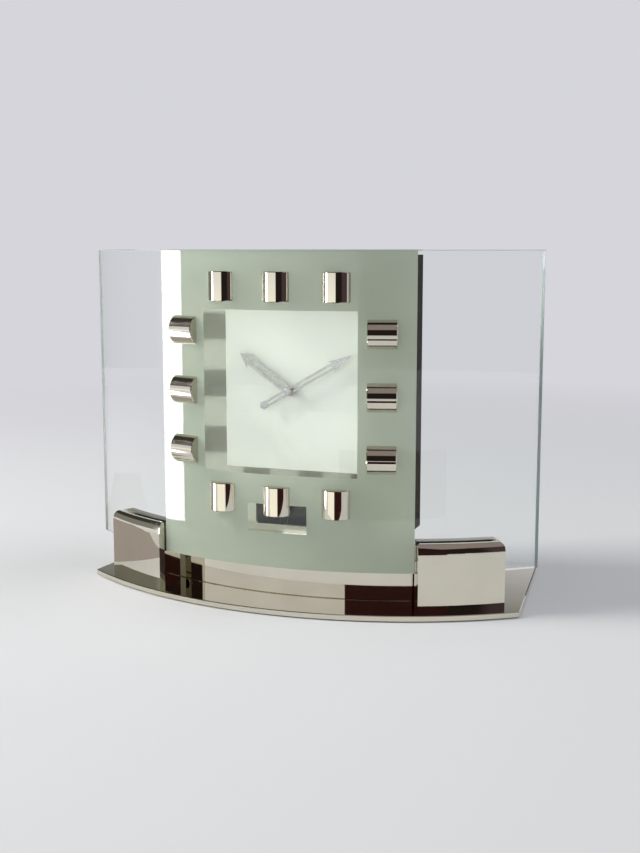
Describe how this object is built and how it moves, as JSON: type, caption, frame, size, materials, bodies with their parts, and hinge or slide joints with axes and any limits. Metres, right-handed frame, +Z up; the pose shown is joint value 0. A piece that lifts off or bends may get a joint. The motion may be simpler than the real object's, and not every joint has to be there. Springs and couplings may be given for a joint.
{
  "type": "desk pendulum clock",
  "caption": "Desk clock with a bent, partly frosted glass front on a nickel base, half-round hour markers, skeleton hands and a battery pendulum movement in a rear housing.",
  "frame": {"origin": "under the middle of the clock, on the surface that it stands on", "axes": "+X to the right seen from the front, +Y to the back, +Z up"},
  "size_m": [0.3022, 0.155, 0.22],
  "materials": {
    "polished_nickel": "polished",
    "bent_glass": "clear, frosted in the middle",
    "white_dial": "matt white",
    "polished_plate": "polished, slightly hazed",
    "silver_hands": "satin silver",
    "brass": "turned and grained",
    "steel": "bright turned",
    "felt": "dark green felt",
    "black_rubber": "thin dull rubber",
    "black_enamel": "black stove enamel",
    "copper_winding": "varnished copper wire",
    "black_moulding": "moulded black",
    "battery_jacket": "plain dark card"
  },
  "bodies": {
    "stand": {"apron": "polished_nickel", "back_plate": "polished_plate", "base_plate": "polished_nickel", "base_screws": "steel", "battery": "battery_jacket", "battery_contacts": "steel", "battery_holder": "black_moulding", "case_shell": "polished_nickel", "clamp_front_left": "polished_nickel", "clamp_front_right": "polished_nickel", "clamp_liners": "black_rubber", "clamp_rear_left": "polished_nickel", "clamp_rear_right": "polished_nickel", "clamp_screws": "steel", "coil_bracket": "black_moulding", "dial_plate": "white_dial", "drive_coil": "copper_winding", "felt_pads": "felt", "glass_pane": "bent_glass", "hour_marker_01": "polished_nickel", "hour_marker_02": "polished_nickel", "hour_marker_03": "polished_nickel", "hour_marker_04": "polished_nickel", "hour_marker_05": "polished_nickel", "hour_marker_06": "polished_nickel", "hour_marker_07": "polished_nickel", "hour_marker_08": "polished_nickel", "hour_marker_09": "polished_nickel", "hour_marker_10": "polished_nickel", "hour_marker_11": "polished_nickel", "hour_marker_12": "polished_nickel", "housing_screws": "steel", "minute_wheel_stud": "steel", "mounting_posts": "brass", "movement_front_plate": "brass", "movement_rear_plate": "brass", "plate_pillars": "brass", "rear_cover": "black_enamel", "rear_housing": "black_enamel", "suspension_bracket": "brass", "suspension_pin": "steel"},
    "minute_train": {"centre_arbor": "steel", "centre_wheel": "brass", "cannon_pinion": "brass", "minute_hand": "silver_hands", "hand_nut": "silver_hands"},
    "hour_train": {"hour_wheel": "brass", "hour_hand": "silver_hands"},
    "minute_wheel_body": {"minute_wheel": "brass"},
    "setting_body": {"setting_arbor": "steel", "setting_knob": "brass"},
    "intermediate_body": {"intermediate_wheel": "brass"},
    "count_body": {"count_wheel": "brass"},
    "pendulum": {"suspension_spring": "brass", "pendulum_rod": "steel", "pendulum_bob": "polished_nickel", "rating_nut": "brass", "magnet_holder": "brass", "drive_magnet": "steel", "drive_pawl": "steel"}
  },
  "joints": [
    {"name": "minute_turn", "type": "hinge", "parent": "stand", "child": "minute_train", "pos_m": [0, 0, 0.133], "axis": [0, 1, 0], "continuous": true},
    {"name": "hour_turn", "type": "hinge", "parent": "stand", "child": "hour_train", "pos_m": [0, 0, 0.133], "axis": [0, 1, 0], "continuous": true},
    {"name": "minute_wheel_turn", "type": "hinge", "parent": "stand", "child": "minute_wheel_body", "pos_m": [0.0144, 0, 0.133], "axis": [0, 1, 0], "continuous": true},
    {"name": "setting_turn", "type": "hinge", "parent": "stand", "child": "setting_body", "pos_m": [0.0288, 0, 0.133], "axis": [0, 1, 0], "continuous": true},
    {"name": "intermediate_turn", "type": "hinge", "parent": "stand", "child": "intermediate_body", "pos_m": [-0.00752, 0, 0.15367], "axis": [0, 1, 0], "continuous": true},
    {"name": "count_turn", "type": "hinge", "parent": "stand", "child": "count_body", "pos_m": [-0.00871, 0, 0.16722], "axis": [0, 1, 0], "continuous": true},
    {"name": "pendulum_swing", "type": "hinge", "parent": "stand", "child": "pendulum", "pos_m": [0, 0.0112, 0.196], "axis": [0, 1, 0], "range_deg": [-4, 4]}
  ],
  "couplings": [
    {"joint": "hour_turn", "follows": "minute_turn", "ratio": 0.083333},
    {"joint": "minute_wheel_turn", "follows": "minute_turn", "ratio": -0.33333},
    {"joint": "setting_turn", "follows": "minute_turn", "ratio": 1},
    {"joint": "intermediate_turn", "follows": "minute_turn", "ratio": -10},
    {"joint": "count_turn", "follows": "minute_turn", "ratio": 75}
  ]
}
